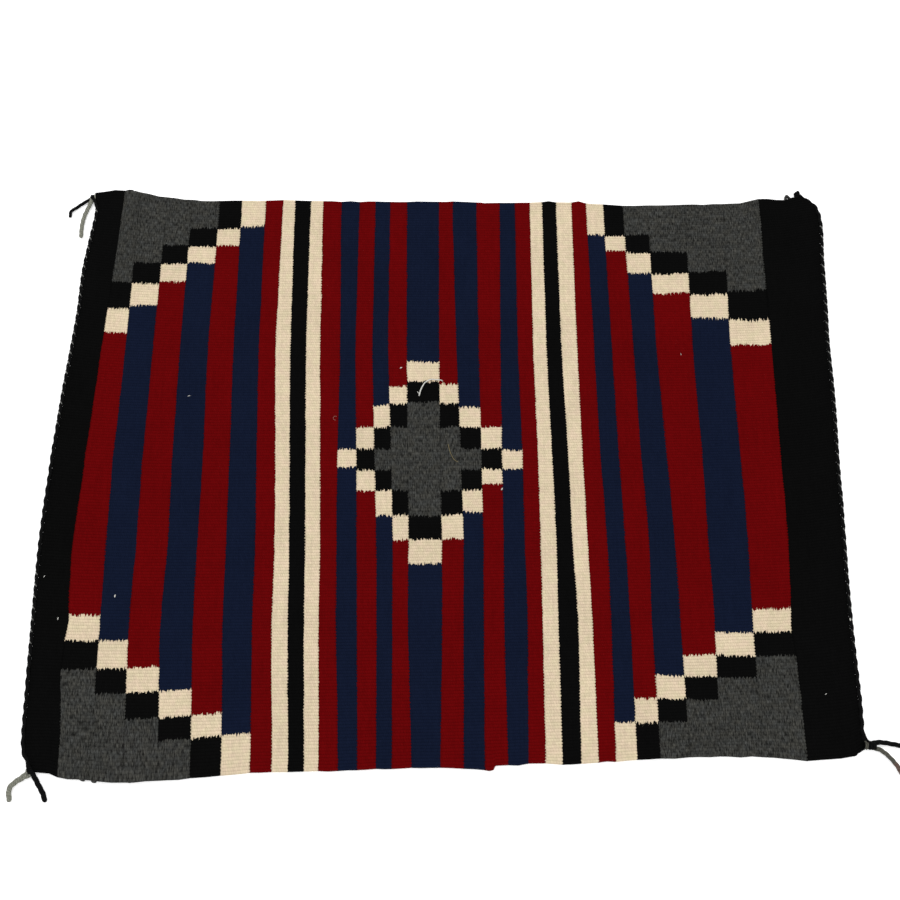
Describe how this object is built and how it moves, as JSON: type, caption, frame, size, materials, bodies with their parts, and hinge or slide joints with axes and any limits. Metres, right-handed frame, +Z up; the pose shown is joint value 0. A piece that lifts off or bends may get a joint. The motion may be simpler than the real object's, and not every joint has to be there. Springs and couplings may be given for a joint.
{
  "type": "navajo rug",
  "caption": "Flat handwoven wool rug with striped field, stepped diamond and corners, twisted end cords and knotted corner tassels.",
  "frame": {"origin": "on the floor, under the middle of the rug's outline with its corner tassels", "axes": "+X along the long side, from the left end to the right end; +Y from the front edge to the back edge, along the stripes; +Z up, through the thickness"},
  "size_m": [0.9797, 0.7491, 0.0112],
  "materials": {
    "woven_wool": "matte weft-faced wool weave in red, navy, cream, black and dark grey",
    "cord_yarn": "matte twisted wool yarn, black with light grey",
    "tail_yarn": "matte loose wool yarn"
  },
  "bodies": {
    "root": {"woven_cloth": "woven_wool", "left_end_cord": "cord_yarn", "right_end_cord": "cord_yarn", "back_left_tassel": "tail_yarn", "front_left_tassel": "tail_yarn", "front_right_tassel": "tail_yarn", "back_right_tassel": "tail_yarn"}
  },
  "joints": []
}
